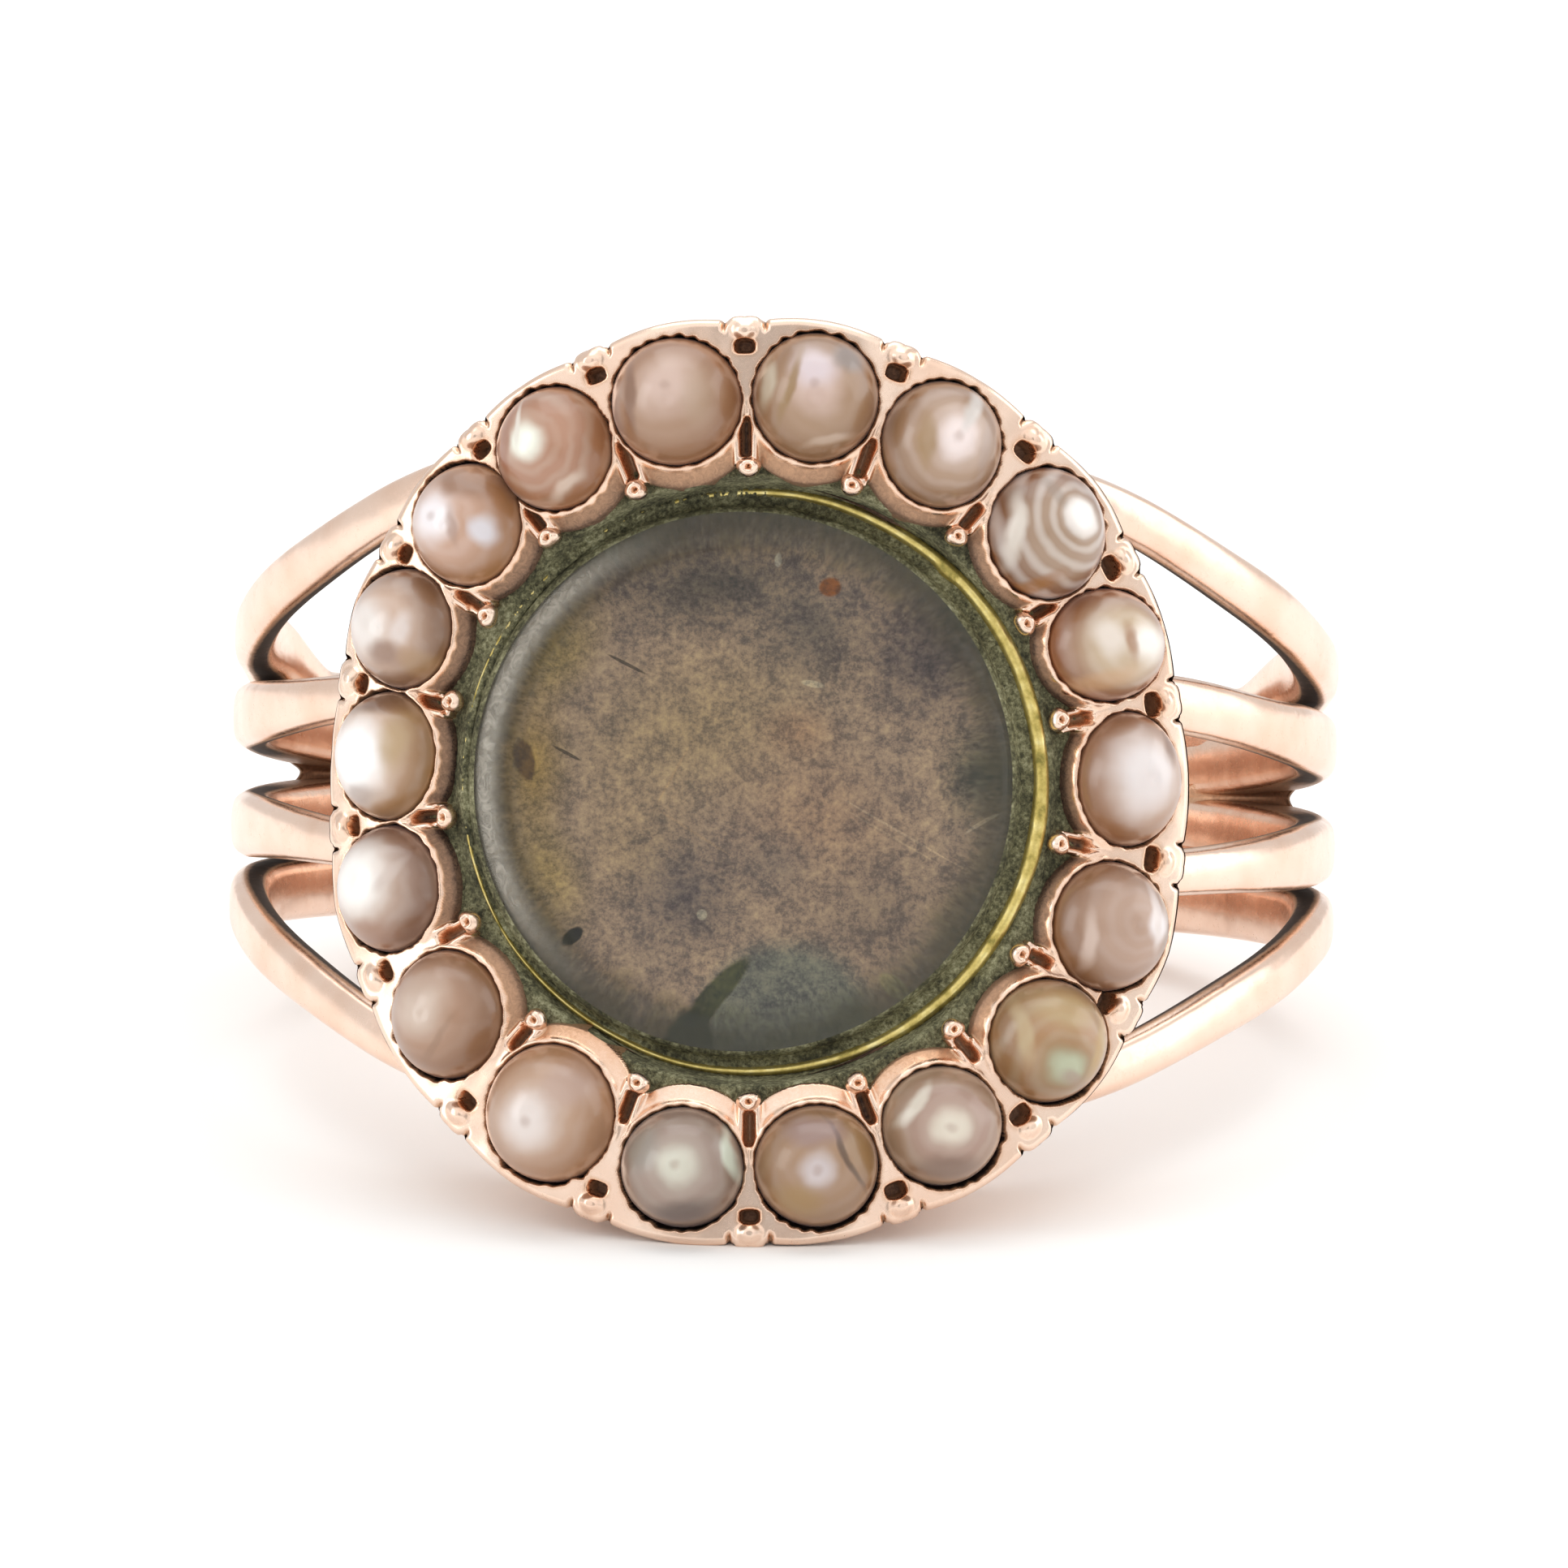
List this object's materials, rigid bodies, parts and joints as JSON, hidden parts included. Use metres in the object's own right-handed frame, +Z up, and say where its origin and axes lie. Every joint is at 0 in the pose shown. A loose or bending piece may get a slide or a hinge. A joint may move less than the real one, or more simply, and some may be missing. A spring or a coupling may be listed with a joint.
{
  "type": "locket ring",
  "caption": "Rose gold finger ring with four-wire shoulders and a round bent head, set with half pearls round a glazed locket.",
  "frame": {"origin": "on the floor under the middle of the ring's box, as the ring lies on its side", "axes": "+X to the right of someone looking at the head, -Y the way the head looks, +Z up from the floor"},
  "size_m": [0.02, 0.0244, 0.0156],
  "materials": {
    "rose_gold": "worn polish",
    "yellow_gilt": "tarnished gilding",
    "stained_backing": "stained and mottled",
    "locket_glass": "polished, with fine scratches",
    "half_pearl": "nacre"
  },
  "bodies": {
    "root": {"gold_mount": "rose_gold", "gilt_rim": "yellow_gilt", "backing": "stained_backing", "glass": "locket_glass", "pearl_01": "half_pearl", "pearl_02": "half_pearl", "pearl_03": "half_pearl", "pearl_04": "half_pearl", "pearl_05": "half_pearl", "pearl_06": "half_pearl", "pearl_07": "half_pearl", "pearl_08": "half_pearl", "pearl_09": "half_pearl", "pearl_10": "half_pearl", "pearl_11": "half_pearl", "pearl_12": "half_pearl", "pearl_13": "half_pearl", "pearl_14": "half_pearl", "pearl_15": "half_pearl", "pearl_16": "half_pearl", "pearl_17": "half_pearl", "pearl_18": "half_pearl"}
  },
  "joints": []
}
